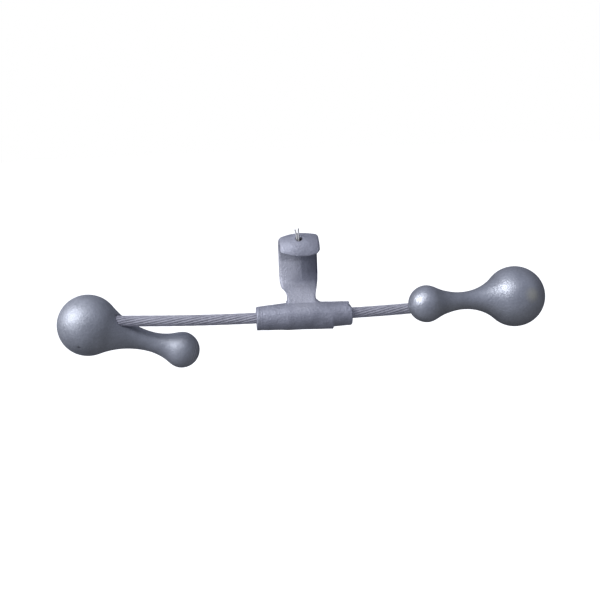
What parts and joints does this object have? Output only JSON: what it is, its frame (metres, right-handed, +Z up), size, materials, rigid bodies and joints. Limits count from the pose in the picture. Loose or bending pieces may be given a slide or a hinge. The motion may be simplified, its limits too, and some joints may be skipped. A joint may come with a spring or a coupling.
{
  "type": "stockbridge vibration damper",
  "caption": "Stockbridge vibration damper: a cast hook clamp on a bowed steel strand, with a dog-bone weight folded back beside the strand at each end.",
  "frame": {"origin": "axis of the conductor in the hook's seat, at the hook's parting plane", "axes": "+X along the conductor and the strand, +Z up out of the crown of the hook, and the throat opens towards -Y"},
  "size_m": [0.4872, 0.0838, 0.1392],
  "materials": {
    "cast_alloy": "as cast, satin",
    "weight_iron": "galvanised, fine grain with a soft gloss",
    "strand_steel": "galvanised wire",
    "pin_steel": "bright wire"
  },
  "bodies": {
    "root": {"clamp_body": "cast_alloy", "split_pin": "pin_steel", "king_wire": "strand_steel", "inner_wire_1": "strand_steel", "inner_wire_2": "strand_steel", "inner_wire_3": "strand_steel", "inner_wire_4": "strand_steel", "inner_wire_5": "strand_steel", "inner_wire_6": "strand_steel", "outer_wire_1": "strand_steel", "outer_wire_2": "strand_steel", "outer_wire_3": "strand_steel", "outer_wire_4": "strand_steel", "outer_wire_5": "strand_steel", "outer_wire_6": "strand_steel", "outer_wire_7": "strand_steel", "outer_wire_8": "strand_steel", "outer_wire_9": "strand_steel", "outer_wire_10": "strand_steel", "outer_wire_11": "strand_steel", "outer_wire_12": "strand_steel", "left_weight": "weight_iron", "right_weight": "weight_iron"}
  },
  "joints": []
}
